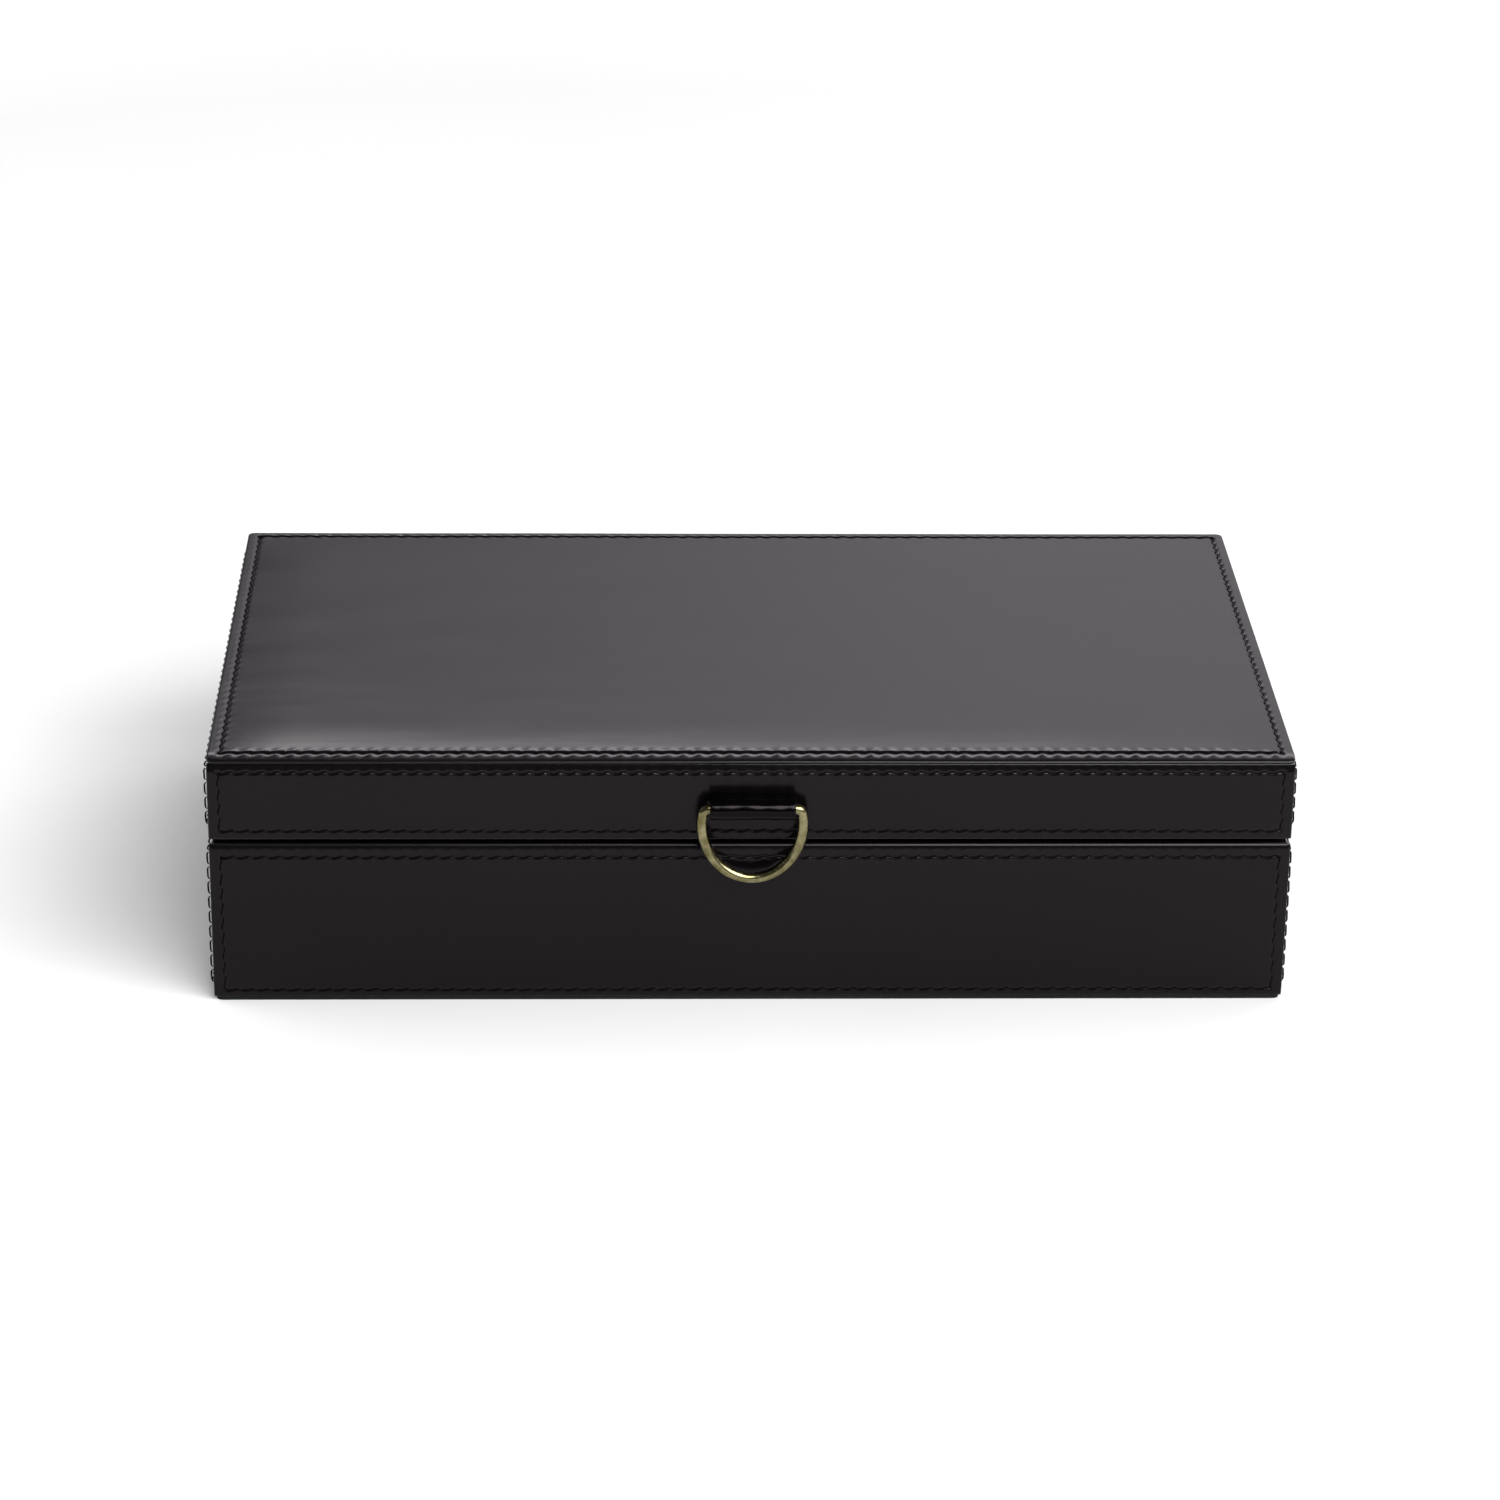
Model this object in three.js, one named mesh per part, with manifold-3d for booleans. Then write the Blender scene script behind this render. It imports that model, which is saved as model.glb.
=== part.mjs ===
// A leather-covered poker chip case: a hinged box with a fitted insert for chips, cards and dice.
// Millimetres, +Z up. The origin is the middle of the bottom face, the front looks along -Y, and the
// longest side lies along X.
import * as THREE from 'three';
import { mergeVertices } from 'three/addons/utils/BufferGeometryUtils.js';
import Module from 'manifold-3d';

// ---------------------------------------------------------------- driving dimensions
const CASE = { width: 318, depth: 182, height: 78.5, cornerRadius: 2 };
const LEATHER = 1.6; // leather panels, top and walls
const GLUE = 0.2; // bond line between layers
const BOARD = { wall: 6, flat: 5 }; // wooden core
const COVER = { thickness: 1, inset: 0.5 }; // bottom cover
const BINDING = 1.2; // leather on the two rims
const BASE_TOP = 50.9; // top of the base's rim
const LID_BOTTOM = 52.6; // underside of the lid's rim
const BASE_LINING = 2.4;
const LID_LINING = 0.8;
const LIP = { height: 5, inset: 1.1, backGap: 2.8 }; // raised lining that locates the lid
const PAD = 3; // padded ceiling
const FLOOR_LINING = 1;

const INSERT_TOP = 40;
const TROUGH = { radius: 20.4, axisAboveTop: 0.6, rib: 4, halfLength: 77.5, segments: 48 };
const RACK = { inner: 50.2, outer: 148.4, halfDepth: 80.3 };
const TRAY = {
  halfWidth: 49.8, wellWidth: 92, deckDepth: 66.5, diceDepth: 17, rib: 3,
  deckFloor: 20, diceFloor: 23, notchRadius: 9,
};

const HINGE = {
  x: [-95, 95], width: 30, axisY: 91.6, leaf: 1, leafStart: 84.6, leafEnd: 89.5,
  knuckleRadius: 1.8, boreRadius: 0.9, pinRadius: 0.8, knuckleGap: 0.3,
  stopAngle: 47.75, finReach: 4, finThickness: 1,
};
const SCREW = { spacing: 18, y: 87, head: 1.8, shank: 0.9, headDrop: 0.9, length: 10, play: 0.25 };
const MAGNET = { x: [-70, 70], radius: 2.5, thickness: 3, play: 0.3 };

const RING = {
  wire: 1.6, halfWidth: 14.9, barHalfWidth: 14.5, barZ: 64.6, arcZ: 60, lowZ: 42.4, y: -95.7,
  corner: 1.8, joint: 0.15, // the sides lean in from the arc's ends to the bar
  sides: 12, steps: 56,
};
const LOOP = { width: 25, thickness: 1.3, radius: 3.2, slotPlay: 0.3 };

// ---------------------------------------------------------------- levels and insets worked out from them
const HALF_W = CASE.width / 2;
const HALF_D = CASE.depth / 2;
const CORE_INSET = LEATHER + GLUE; // from the outside to the board
const ROOM_INSET = CORE_INSET + BOARD.wall; // from the outside to the board's inner face
const LINING_INSET = ROOM_INSET + GLUE;
const BASE_START = COVER.thickness + GLUE;
const FLOOR = BASE_START + BOARD.flat + GLUE; // top of the bottom board, with its glue
const INSERT_START = FLOOR + FLOOR_LINING + GLUE;
const BASE_WALL_TOP = BASE_TOP - BINDING - GLUE;
const TOP_START = CASE.height - LEATHER;
const LID_TOP = TOP_START - GLUE; // top of the lid's wooden core and of its wall leather
const LID_WALL_START = LID_BOTTOM + BINDING + GLUE;
const LID_WALL_TOP = LID_TOP - BOARD.flat - GLUE;
const PAD_START = LID_WALL_TOP - PAD;
const AXIS_Z = (BASE_TOP + LID_BOTTOM) / 2;

// ---------------------------------------------------------------- materials
const look = (color, roughness, metalness = 0) => () => (
  new THREE.MeshStandardMaterial({ color, roughness, metalness })
);
const leather = look(0x2b292b, 0.55);
const wood = look(0xb48a5a, 0.7);
const suede = look(0x34343a, 0.95);
const felt = look(0x1d1d1f, 0.95);
const brass = look(0x8a7440, 0.4, 1);
const steel = look(0xb8bcc0, 0.3, 1);

// ---------------------------------------------------------------- making and cutting solids
const wasm = await Module();
wasm.setup();

function toSolid(geometry) {
  const bare = geometry.clone();
  bare.deleteAttribute('normal');
  bare.deleteAttribute('uv');
  const merged = mergeVertices(bare, 1e-4);
  const mesh = new wasm.Mesh({
    numProp: 3,
    vertProperties: new Float32Array(merged.attributes.position.array),
    triVerts: new Uint32Array(merged.index.array),
  });
  return new wasm.Manifold(mesh);
}

function toGeometry(solid) {
  const mesh = solid.getMesh();
  const geometry = new THREE.BufferGeometry();
  geometry.setAttribute('position', new THREE.BufferAttribute(new Float32Array(mesh.vertProperties), 3));
  geometry.setIndex(new THREE.BufferAttribute(new Uint32Array(mesh.triVerts), 1));
  geometry.computeVertexNormals();
  return geometry;
}

function combine(first, { add = [], cut = [] }) {
  let solid = toSolid(first);
  for (const geometry of add) solid = solid.add(toSolid(geometry));
  for (const geometry of cut) solid = solid.subtract(toSolid(geometry));
  return toGeometry(solid);
}

function block([x0, x1], [y0, y1], [z0, z1]) {
  const geometry = new THREE.BoxGeometry(x1 - x0, y1 - y0, z1 - z0);
  return geometry.translate((x0 + x1) / 2, (y0 + y1) / 2, (z0 + z1) / 2);
}

// A cylinder or cone along X, Y or Z, centred on a point.
function rod(axis, centre, length, radius, farRadius = radius, segments = 24) {
  const geometry = new THREE.CylinderGeometry(farRadius, radius, length, segments);
  if (axis === 'x') geometry.rotateZ(-Math.PI / 2);
  if (axis === 'z') geometry.rotateX(Math.PI / 2);
  return geometry.translate(...centre);
}

function roundedRectangle(halfX, halfY, radius) {
  const shape = new THREE.Shape();
  shape.moveTo(halfX - radius, -halfY);
  shape.absarc(halfX - radius, -halfY + radius, radius, -Math.PI / 2, 0);
  shape.absarc(halfX - radius, halfY - radius, radius, 0, Math.PI / 2);
  shape.absarc(-halfX + radius, halfY - radius, radius, Math.PI / 2, Math.PI);
  shape.absarc(-halfX + radius, -halfY + radius, radius, Math.PI, Math.PI * 1.5);
  shape.closePath();
  return shape;
}

function slab(shape, z0, z1) {
  const options = { depth: z1 - z0, bevelEnabled: false, curveSegments: 6 };
  return new THREE.ExtrudeGeometry(shape, options).translate(0, 0, z0);
}

const model = new THREE.Group();

function place(name, geometry, material) {
  const mesh = new THREE.Mesh(geometry, material());
  mesh.name = name;
  model.add(mesh);
}

// The four walls of one layer: front and back run the full width, and the two sides fit between them.
const WALLS = [
  { name: 'front', along: 'x', sign: -1 },
  { name: 'back', along: 'x', sign: 1 },
  { name: 'left', along: 'y', sign: -1 },
  { name: 'right', along: 'y', sign: 1 },
];

const ordered = (a, b) => (a < b ? [a, b] : [b, a]);

// A wall plate whose outer face is `inset` inside the case, `half` long each way from the middle.
function wallPlate(wall, inset, thickness, half, z) {
  const outer = (wall.along === 'x' ? HALF_D : HALF_W) - inset;
  const across = ordered(wall.sign * outer, wall.sign * (outer - thickness));
  return wall.along === 'x'
    ? block([-half, half], across, z)
    : block(across, [-half, half], z);
}

// ---------------------------------------------------------------- hinges
const SCREW_X = HINGE.x.flatMap((x) => [x - SCREW.spacing / 2, x + SCREW.spacing / 2]);

// `up` is -1 for the base's half of a hinge and 1 for the lid's.
const fromAxis = (up, z) => AXIS_Z + up * z;
const SEAM_HALF = AXIS_Z - BASE_TOP;

function screwHoles(up) {
  const length = SCREW.length + 1;
  const middle = fromAxis(up, SEAM_HALF + length / 2);
  return SCREW_X.map((x) => rod('z', [x, SCREW.y, middle], length, SCREW.shank + SCREW.play));
}

// The pocket that one leaf lies in, cut out of the rim binding and the back leather.
function mortises(up) {
  const play = 0.3;
  const half = HINGE.width / 2 + play;
  const z = ordered(fromAxis(up, SEAM_HALF - 1), fromAxis(up, SEAM_HALF + BINDING + GLUE / 2));
  return HINGE.x.map((x) => block([x - half, x + half], [HINGE.leafStart - play, HALF_D + 1], z));
}

function knuckle(x0, x1, radius) {
  return rod('x', [(x0 + x1) / 2, HINGE.axisY, AXIS_Z], x1 - x0, radius, radius, 32);
}

// A stop fin: a plate standing on the knuckle, with its working face through the hinge axis.
function fin(up, x0, x1, from) {
  const reach = HINGE.finReach - from;
  const plate = new THREE.BoxGeometry(x1 - x0, reach, HINGE.finThickness);
  plate.translate(0, from + reach / 2, up * HINGE.finThickness / 2);
  plate.rotateX(up * THREE.MathUtils.degToRad(HINGE.stopAngle));
  return plate.translate((x0 + x1) / 2, HINGE.axisY, AXIS_Z);
}

function hingeLeaf(up, x) {
  const half = HINGE.width / 2;
  const third = HINGE.width / 6;
  const rootRadius = 1.4; // where a fin grows out of its own knuckle
  const bridgeRadius = 2.15; // clear of the other leaf's knuckle
  const z = ordered(fromAxis(up, SEAM_HALF), fromAxis(up, SEAM_HALF + HINGE.leaf));
  const spans = up < 0
    ? [[x - half, x - third - HINGE.knuckleGap], [x + third + HINGE.knuckleGap, x + half]]
    : [[x - third, x + third]];
  const add = [];
  for (const [x0, x1] of spans) {
    add.push(block([x0, x1], [HINGE.leafEnd - 0.5, HINGE.axisY], z));
    add.push(knuckle(x0, x1, HINGE.knuckleRadius));
    add.push(fin(up, x0, x1, rootRadius));
  }
  if (up < 0) add.push(fin(up, x - half, x + half, bridgeRadius));
  const cut = [rod('x', [x, HINGE.axisY, AXIS_Z], HINGE.width + 2, HINGE.boreRadius)];
  const headTop = SCREW.head + SCREW.play;
  const headFoot = SCREW.shank + SCREW.play;
  const drop = HINGE.leaf + 0.2;
  for (const screwX of SCREW_X.filter((value) => Math.abs(value - x) < half)) {
    const centre = [screwX, SCREW.y, fromAxis(up, SEAM_HALF + HINGE.leaf / 2)];
    const wide = up < 0 ? [headFoot, headTop] : [headTop, headFoot];
    cut.push(rod('z', centre, drop, ...wide));
  }
  const plate = block([x - half, x + half], [HINGE.leafStart, HINGE.leafEnd], z);
  return combine(plate, { add, cut });
}

function hingePin(x) {
  return rod('x', [x, HINGE.axisY, AXIS_Z], HINGE.width, HINGE.pinRadius, HINGE.pinRadius, 16);
}

// A countersunk wood screw: flat head, tapered neck, shank and point.
function screw(up, x) {
  const top = 0.1;
  const profile = [
    [0, 0], [SCREW.head, 0], [SCREW.shank, SCREW.headDrop],
    [SCREW.shank, SCREW.length - 1.6], [0, SCREW.length],
  ];
  const points = profile.map(([radius, down]) => new THREE.Vector2(radius, -down)).reverse();
  const geometry = new THREE.LatheGeometry(points, 16);
  geometry.rotateX(up < 0 ? Math.PI / 2 : -Math.PI / 2);
  return geometry.translate(x, SCREW.y, fromAxis(up, SEAM_HALF + top));
}

// ---------------------------------------------------------------- magnets in the two front boards
function magnetRod(up, x, play) {
  const middle = SEAM_HALF + BINDING + 2 * GLUE + MAGNET.thickness / 2;
  const centre = [x, -(HALF_D - CORE_INSET - BOARD.wall / 2), fromAxis(up, middle)];
  return rod('z', centre, MAGNET.thickness + 2 * play, MAGNET.radius + play);
}

// ---------------------------------------------------------------- base: wooden core and leather
place('base_bottom_cover', slab(
  roundedRectangle(HALF_W - COVER.inset, HALF_D - COVER.inset, CASE.cornerRadius), 0, COVER.thickness,
), felt);
place('base_bottom_board', block(
  [-(HALF_W - CORE_INSET), HALF_W - CORE_INSET],
  [-(HALF_D - CORE_INSET), HALF_D - CORE_INSET],
  [BASE_START, BASE_START + BOARD.flat],
), wood);

function shellWalls(part, up, boardZ, leatherZ, slots) {
  for (const wall of WALLS) {
    const long = wall.along === 'x';
    const boardHalf = long ? HALF_W - CORE_INSET : HALF_D - ROOM_INSET - GLUE;
    let board = wallPlate(wall, CORE_INSET, BOARD.wall, boardHalf, boardZ);
    if (wall.name === 'back') board = combine(board, { cut: screwHoles(up) });
    if (wall.name === 'front') {
      board = combine(board, { cut: MAGNET.x.map((x) => magnetRod(up, x, MAGNET.play)) });
    }
    place(`${part}_${wall.name}_board`, board, wood);

    const leatherHalf = long ? HALF_W : HALF_D - CORE_INSET;
    let skin = wallPlate(wall, 0, LEATHER, leatherHalf, leatherZ);
    if (wall.name === 'back') skin = combine(skin, { cut: mortises(up) });
    if (wall.name === 'front' && slots.length) skin = combine(skin, { cut: slots });
    place(`${part}_${wall.name}_leather`, skin, leather);
  }
}

function rimBinding(up, z0, z1) {
  const rim = roundedRectangle(HALF_W - CORE_INSET, HALF_D - CORE_INSET, 0.5);
  rim.holes.push(roundedRectangle(HALF_W - ROOM_INSET - GLUE, HALF_D - ROOM_INSET - GLUE, 0.5));
  return combine(slab(rim, z0, z1), { cut: mortises(up) });
}

shellWalls('base', -1, [FLOOR, BASE_WALL_TOP], [BASE_START, BASE_TOP], []);
place('base_rim_binding', rimBinding(-1, BASE_TOP - BINDING, BASE_TOP), leather);

// ---------------------------------------------------------------- base: suede lining
place('base_floor_lining', block(
  [-(HALF_W - LINING_INSET), HALF_W - LINING_INSET],
  [-(HALF_D - LINING_INSET), HALF_D - LINING_INSET],
  [FLOOR, FLOOR + FLOOR_LINING],
), suede);

for (const wall of WALLS) {
  const long = wall.along === 'x';
  const half = long ? HALF_W - LINING_INSET : HALF_D - LINING_INSET - BASE_LINING - GLUE;
  let lining = wallPlate(wall, LINING_INSET, BASE_LINING, half, [INSERT_START, BASE_WALL_TOP]);
  if (wall.name !== 'back') {
    const lipZ = [BASE_WALL_TOP - 1, BASE_TOP + LIP.height];
    const lip = wallPlate(wall, LINING_INSET + LIP.inset, BASE_LINING - LIP.inset, half - LIP.inset, lipZ);
    const stop = HALF_D - LINING_INSET - BASE_LINING - LIP.backGap;
    const behind = block([-HALF_W, HALF_W], [stop, HALF_D], [BASE_WALL_TOP, LID_TOP]);
    lining = combine(lining, { add: [lip], cut: [behind] });
  }
  place(`base_${wall.name}_lining`, lining, suede);
}

// ---------------------------------------------------------------- insert: two chip racks and a card tray
function chipRack(sign) {
  const x = ordered(sign * RACK.inner, sign * RACK.outer);
  const middle = (x[0] + x[1]) / 2;
  const pitch = 2 * TROUGH.radius + TROUGH.rib;
  const body = block(x, [-RACK.halfDepth, RACK.halfDepth], [INSERT_START, INSERT_TOP]);
  const troughs = [-1, 1].map((side) => rod(
    'y', [middle + side * pitch / 2, 0, INSERT_TOP + TROUGH.axisAboveTop],
    2 * TROUGH.halfLength, TROUGH.radius, TROUGH.radius, TROUGH.segments,
  ));
  return combine(body, { cut: troughs });
}

function cardTray() {
  const body = block(
    [-TRAY.halfWidth, TRAY.halfWidth], [-RACK.halfDepth, RACK.halfDepth], [INSERT_START, INSERT_TOP],
  );
  const x = [-TRAY.wellWidth / 2, TRAY.wellWidth / 2];
  const used = 2 * TRAY.deckDepth + TRAY.diceDepth + 2 * TRAY.rib;
  let y = -used / 2;
  const cut = [];
  for (const [depth, floor] of [
    [TRAY.diceDepth, TRAY.diceFloor], [TRAY.deckDepth, TRAY.deckFloor], [TRAY.deckDepth, TRAY.deckFloor],
  ]) {
    cut.push(block(x, [y, y + depth], [floor, INSERT_TOP + 1]));
    y += depth + TRAY.rib;
  }
  // Finger notches through the ribs, so that a deck can be lifted by its ends.
  cut.push(rod('y', [0, 0, INSERT_TOP], used - 2, TRAY.notchRadius));
  return combine(body, { cut });
}

place('chip_rack_left', chipRack(-1), suede);
place('chip_rack_right', chipRack(1), suede);
place('card_tray', cardTray(), suede);

// ---------------------------------------------------------------- lid
const loopSlot = block(
  [-LOOP.width / 2 - LOOP.slotPlay, LOOP.width / 2 + LOOP.slotPlay],
  [-HALF_D - 1, -HALF_D + LEATHER + 1],
  [RING.barZ - LOOP.radius - LOOP.slotPlay, RING.barZ + LOOP.radius + LOOP.slotPlay],
);

place('lid_top_board', block(
  [-(HALF_W - CORE_INSET), HALF_W - CORE_INSET],
  [-(HALF_D - CORE_INSET), HALF_D - CORE_INSET],
  [LID_TOP - BOARD.flat, LID_TOP],
), wood);
place('lid_top_leather', slab(
  roundedRectangle(HALF_W, HALF_D, CASE.cornerRadius), TOP_START, CASE.height,
), leather);
shellWalls('lid', 1, [LID_WALL_START, LID_WALL_TOP], [LID_BOTTOM, LID_TOP], [loopSlot]);
place('lid_rim_binding', rimBinding(1, LID_BOTTOM, LID_BOTTOM + BINDING), leather);
place('lid_ceiling_pad', block(
  [-(HALF_W - LINING_INSET), HALF_W - LINING_INSET],
  [-(HALF_D - LINING_INSET), HALF_D - LINING_INSET],
  [PAD_START, LID_WALL_TOP],
), suede);

for (const wall of WALLS) {
  const long = wall.along === 'x';
  const half = long ? HALF_W - LINING_INSET : HALF_D - LINING_INSET - LID_LINING - GLUE;
  const z = [LID_WALL_START, PAD_START - GLUE];
  place(`lid_${wall.name}_lining`, wallPlate(wall, LINING_INSET, LID_LINING, half, z), suede);
}

// ---------------------------------------------------------------- fittings
HINGE.x.forEach((x, index) => {
  const side = ['left', 'right'][index];
  place(`hinge_${side}_base_leaf`, hingeLeaf(-1, x), brass);
  place(`hinge_${side}_lid_leaf`, hingeLeaf(1, x), brass);
  place(`hinge_${side}_pin`, hingePin(x), brass);
});
SCREW_X.forEach((x, index) => {
  place(`base_hinge_screw_${index + 1}`, screw(-1, x), brass);
  place(`lid_hinge_screw_${index + 1}`, screw(1, x), brass);
});
MAGNET.x.forEach((x, index) => {
  const side = ['left', 'right'][index];
  place(`base_${side}_magnet`, magnetRod(-1, x, 0), steel);
  place(`lid_${side}_magnet`, magnetRod(1, x, 0), steel);
});

// ---------------------------------------------------------------- pull: a leather loop and a D-ring
function pullLoop() {
  const inner = LOOP.radius - LOOP.thickness;
  const tail = Math.abs(RING.y) - (HALF_D - LEATHER) - 0.1; // from the bar's axis to just off the board
  const shape = new THREE.Shape();
  shape.moveTo(tail, -LOOP.radius);
  shape.lineTo(tail, -inner);
  shape.lineTo(0, -inner);
  shape.absarc(0, 0, inner, -Math.PI / 2, -Math.PI * 1.5, true);
  shape.lineTo(tail, inner);
  shape.lineTo(tail, LOOP.radius);
  shape.lineTo(0, LOOP.radius);
  shape.absarc(0, 0, LOOP.radius, Math.PI / 2, Math.PI * 1.5, false);
  shape.closePath();
  const options = { depth: LOOP.width, bevelEnabled: false, curveSegments: 12 };
  const strip = new THREE.ExtrudeGeometry(shape, options);
  strip.translate(0, 0, -LOOP.width / 2);
  // The outline's x becomes +Y, its y becomes +Z and the extrusion runs along X.
  strip.applyMatrix4(new THREE.Matrix4().set(0, 0, 1, 0, 1, 0, 0, RING.y, 0, 1, 0, RING.barZ, 0, 0, 0, 1));
  return strip;
}

// The D-ring is one bent wire that hangs from its straight bar; the wire's two ends meet in the loop.
function pullRing() {
  const { halfWidth, barHalfWidth, corner, barZ, arcZ, lowZ, y, wire, joint } = RING;
  const at = (x, z) => new THREE.Vector3(x, y, z);
  const kappa = 0.5523; // length of the Bezier handles of a quarter circle, as a part of its radius
  const across = kappa * halfWidth;
  const down = arcZ - kappa * (arcZ - lowZ);
  const low = at(0, lowZ);
  const path = new THREE.CurvePath();
  const line = (from, to) => path.add(new THREE.LineCurve3(from, to));
  const bend = (from, by, to) => path.add(new THREE.QuadraticBezierCurve3(from, by, to));
  const sweep = (from, a, b, to) => path.add(new THREE.CubicBezierCurve3(from, a, b, to));
  const half = barHalfWidth;
  const shoulder = barZ - corner;
  const leanZ = (shoulder + arcZ) / 2;
  line(at(joint, barZ), at(half - corner, barZ));
  bend(at(half - corner, barZ), at(half, barZ), at(half, shoulder));
  bend(at(half, shoulder), at(halfWidth, leanZ), at(halfWidth, arcZ));
  sweep(at(halfWidth, arcZ), at(halfWidth, down), at(across, lowZ), low);
  sweep(low, at(-across, lowZ), at(-halfWidth, down), at(-halfWidth, arcZ));
  bend(at(-halfWidth, arcZ), at(-halfWidth, leanZ), at(-half, shoulder));
  bend(at(-half, shoulder), at(-half, barZ), at(-half + corner, barZ));
  line(at(-half + corner, barZ), at(-joint, barZ));

  const section = new THREE.Shape().absarc(0, 0, wire, 0, 2 * Math.PI);
  const options = { steps: RING.steps, curveSegments: RING.sides, extrudePath: path, bevelEnabled: false };
  return new THREE.ExtrudeGeometry(section, options);
}

place('pull_loop', pullLoop(), leather);
place('pull_ring', pullRing(), brass);

export default model;
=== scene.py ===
"""Looks of the poker chip case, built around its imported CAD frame.

Blender units are metres. The object's sizes and the camera's place are in millimetres, turned into
metres by MM; the sizes and places of the floor and the lights are in metres.
The case stands on z = 0, its front looks along -Y and its longest side lies along X.
"""

import math

import bmesh
import bpy
import numpy as np
from mathutils import Matrix, Vector


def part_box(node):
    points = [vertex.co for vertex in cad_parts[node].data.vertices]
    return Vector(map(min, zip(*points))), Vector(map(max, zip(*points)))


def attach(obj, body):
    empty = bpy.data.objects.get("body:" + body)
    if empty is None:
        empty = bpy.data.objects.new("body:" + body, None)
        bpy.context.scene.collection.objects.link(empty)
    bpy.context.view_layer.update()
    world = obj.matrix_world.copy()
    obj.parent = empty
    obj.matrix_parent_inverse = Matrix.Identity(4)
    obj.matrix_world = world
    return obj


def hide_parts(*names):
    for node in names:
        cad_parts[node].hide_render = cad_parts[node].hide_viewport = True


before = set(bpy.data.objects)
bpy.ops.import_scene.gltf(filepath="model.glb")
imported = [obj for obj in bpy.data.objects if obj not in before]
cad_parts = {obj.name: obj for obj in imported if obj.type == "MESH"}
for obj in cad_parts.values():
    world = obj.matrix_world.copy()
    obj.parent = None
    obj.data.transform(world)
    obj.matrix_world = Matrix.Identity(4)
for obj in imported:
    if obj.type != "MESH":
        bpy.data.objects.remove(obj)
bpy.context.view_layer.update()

MM = 0.001

# ------------------------------------------------------------------ camera
CAMERA_TARGET = Vector((0, 0, 38))
CAMERA_PITCH = math.radians(23.796)
CAMERA_YAW = math.radians(1.962)
CAMERA_ROLL = math.radians(0.795)
CAMERA_DISTANCE = 1460
CAMERA_OFFSET = (2.27, 2.92)  # sideways and upwards in the picture plane
CAMERA_LENS = 112.1
SENSOR_WIDTH = 36
CAMERA_CLIP = (0.05, 100)  # metres


def add_camera():
    forward = Vector((
        math.sin(CAMERA_YAW) * math.cos(CAMERA_PITCH),
        math.cos(CAMERA_YAW) * math.cos(CAMERA_PITCH),
        -math.sin(CAMERA_PITCH),
    ))
    level = Vector((math.cos(CAMERA_YAW), -math.sin(CAMERA_YAW), 0))
    upright = level.cross(forward)
    right = level * math.cos(CAMERA_ROLL) + upright * math.sin(CAMERA_ROLL)
    up = upright * math.cos(CAMERA_ROLL) - level * math.sin(CAMERA_ROLL)
    place = CAMERA_TARGET - forward * CAMERA_DISTANCE + right * CAMERA_OFFSET[0] + up * CAMERA_OFFSET[1]
    data = bpy.data.cameras.new("camera")
    data.lens = CAMERA_LENS
    data.sensor_width = SENSOR_WIDTH
    data.clip_start, data.clip_end = CAMERA_CLIP
    camera = bpy.data.objects.new("camera", data)
    turn = Matrix((right, up, -forward)).transposed().to_4x4()
    camera.matrix_world = Matrix.Translation(place * MM) @ turn
    bpy.context.scene.collection.objects.link(camera)
    bpy.context.scene.camera = camera


add_camera()


# ------------------------------------------------------------------ materials
def new_material(name):
    material = bpy.data.materials.new(name)
    material.use_nodes = True
    tree = material.node_tree
    shader = next(n for n in tree.nodes if n.type == "BSDF_PRINCIPLED")
    return material, tree, shader


def node(tree, kind, **values):
    """A shader node; keys that name an input set it, the others set the node's own properties."""
    made = tree.nodes.new(kind)
    for key, value in values.items():
        label = key.replace("_", " ").title()
        if label in made.inputs:
            made.inputs[label].default_value = value
        else:
            setattr(made, key, value)
    return made


def coordinates(tree, stretch=(1, 1, 1)):
    """Object coordinates in millimetres, stretched along each axis."""
    source = tree.nodes.new("ShaderNodeTexCoord")
    mapping = tree.nodes.new("ShaderNodeMapping")
    mapping.inputs["Scale"].default_value = [s / MM for s in stretch]
    tree.links.new(source.outputs["Object"], mapping.inputs["Vector"])
    return mapping.outputs["Vector"]


def noise(tree, vector, size, detail=3, roughness=0.5):
    """Noise whose features are about `size` millimetres."""
    made = node(tree, "ShaderNodeTexNoise", scale=1 / size, detail=detail, roughness=roughness)
    tree.links.new(vector, made.inputs["Vector"])
    return made.outputs["Fac"]


def ramp(tree, value, *stops):
    """A colour ramp from (position, colour) pairs; a colour may be one number."""
    made = tree.nodes.new("ShaderNodeValToRGB")
    elements = made.color_ramp.elements
    while len(elements) < len(stops):
        elements.new(0.5)
    for element, (position, colour) in zip(elements, stops):
        rgb = (colour,) * 3 if isinstance(colour, (int, float)) else colour
        element.position = position
        element.color = (*rgb, 1)
    tree.links.new(value, made.inputs["Fac"])
    return made.outputs["Color"]


def bump(tree, shader, height, strength, depth, below=None):
    """Bump of `depth` millimetres; `below` is another bump that this one lies on."""
    made = node(tree, "ShaderNodeBump", strength=strength, distance=depth * MM)
    tree.links.new(height, made.inputs["Height"])
    if below is not None:
        tree.links.new(below, made.inputs["Normal"])
    tree.links.new(made.outputs["Normal"], shader.inputs["Normal"])
    return made.outputs["Normal"]


LEATHER_SHEEN = (1, 0.9, 0.97, 1)  # the tint of what the leather reflects


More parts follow.
